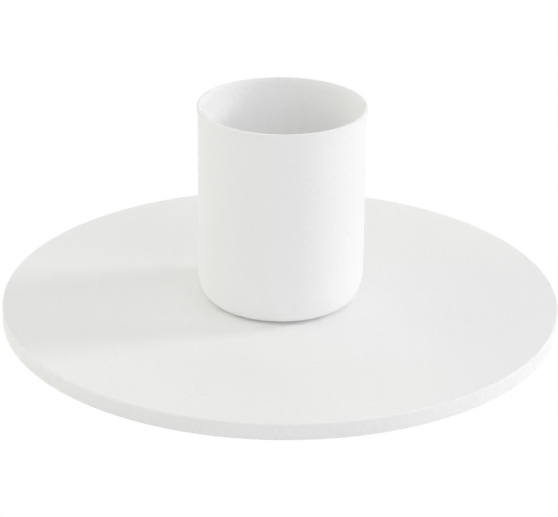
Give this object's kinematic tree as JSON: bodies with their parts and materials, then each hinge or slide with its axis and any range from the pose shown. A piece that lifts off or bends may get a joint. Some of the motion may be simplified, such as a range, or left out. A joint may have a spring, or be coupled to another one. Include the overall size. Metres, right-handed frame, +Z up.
{
  "type": "taper candle holder",
  "caption": "Low taper candle holder: a straight, thin-walled round cup with a rounded foot, screwed to the middle of a flat round plate that stands on felt feet.",
  "frame": {"origin": "on the table, under the middle of the plate", "axes": "+Z up along the axis of the cup and the plate"},
  "size_m": [0.08, 0.08, 0.0325],
  "materials": {
    "white_coat": "matt white powder coat with a fine grain",
    "zinc_plate": "bright zinc plate",
    "grey_felt": "pressed light grey felt"
  },
  "bodies": {
    "root": {"base_plate": "white_coat", "candle_cup": "white_coat", "fixing_screw": "zinc_plate", "washer": "zinc_plate", "hex_nut": "zinc_plate", "felt_foot_1": "grey_felt", "felt_foot_2": "grey_felt", "felt_foot_3": "grey_felt", "felt_foot_4": "grey_felt"}
  },
  "joints": []
}
